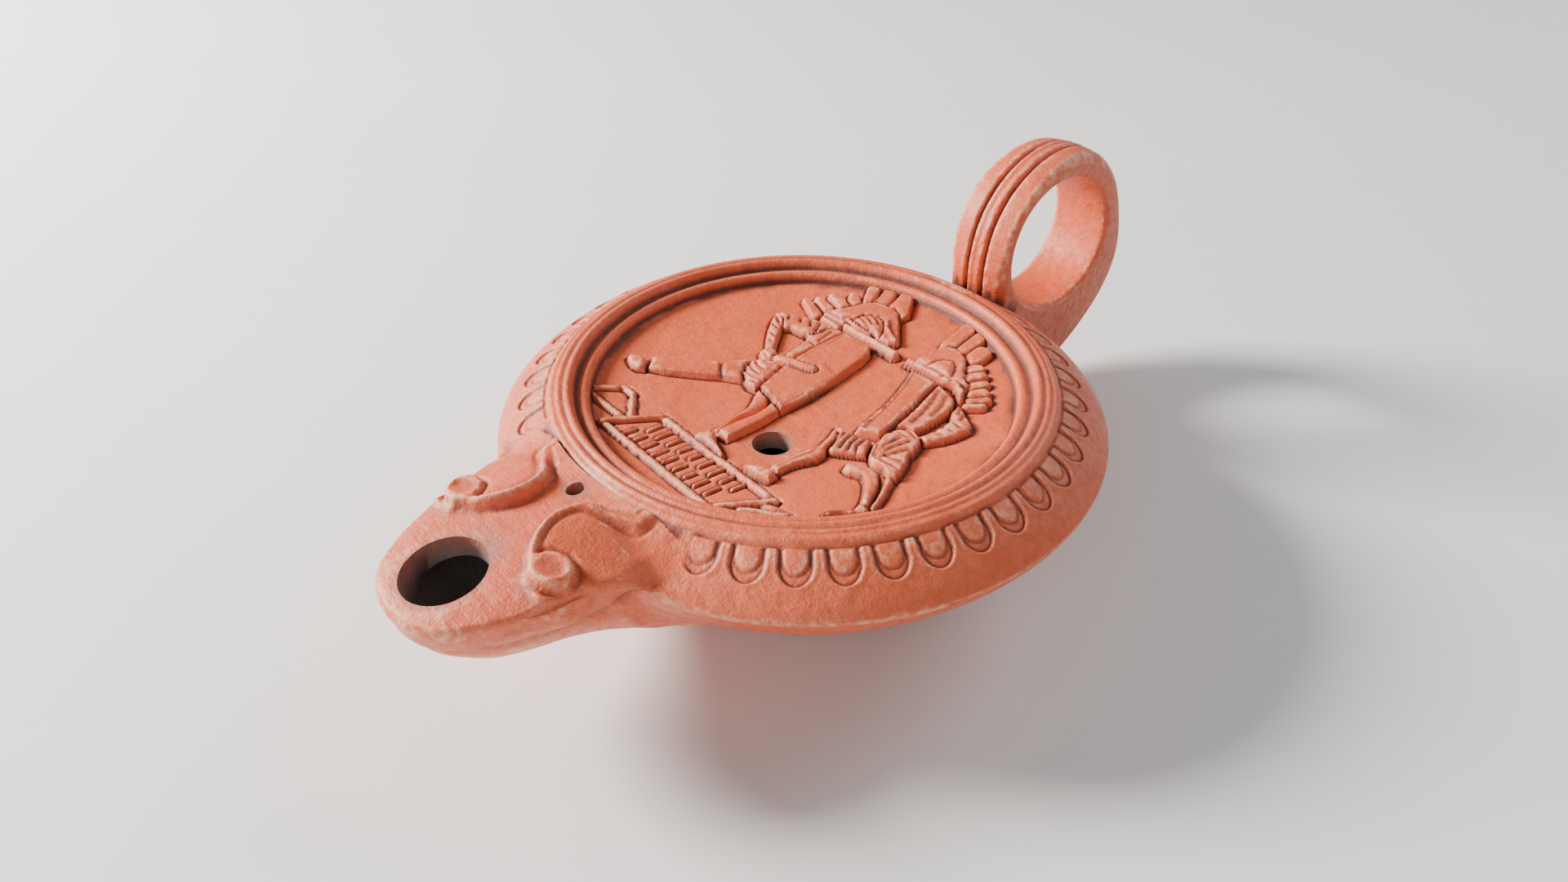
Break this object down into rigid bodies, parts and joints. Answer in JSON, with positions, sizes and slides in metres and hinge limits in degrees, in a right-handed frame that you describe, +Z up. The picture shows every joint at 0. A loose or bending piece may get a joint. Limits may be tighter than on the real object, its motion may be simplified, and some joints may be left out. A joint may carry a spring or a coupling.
{
  "type": "oil lamp",
  "caption": "Round-bodied fired-clay oil lamp with a sunk relief disc, egg border, voluted nozzle and ring handle.",
  "frame": {"origin": "centre of the flat base the lamp stands on", "axes": "+Z up, nozzle towards -Y, ring handle towards +Y, +X to the right when looking along +Y"},
  "size_m": [0.091, 0.1453, 0.0477],
  "materials": {
    "terracotta": "matt fired clay, salmon orange with darker grooves, soot at the wick hole"
  },
  "bodies": {
    "root": {"oil_lamp": "terracotta"}
  },
  "joints": []
}
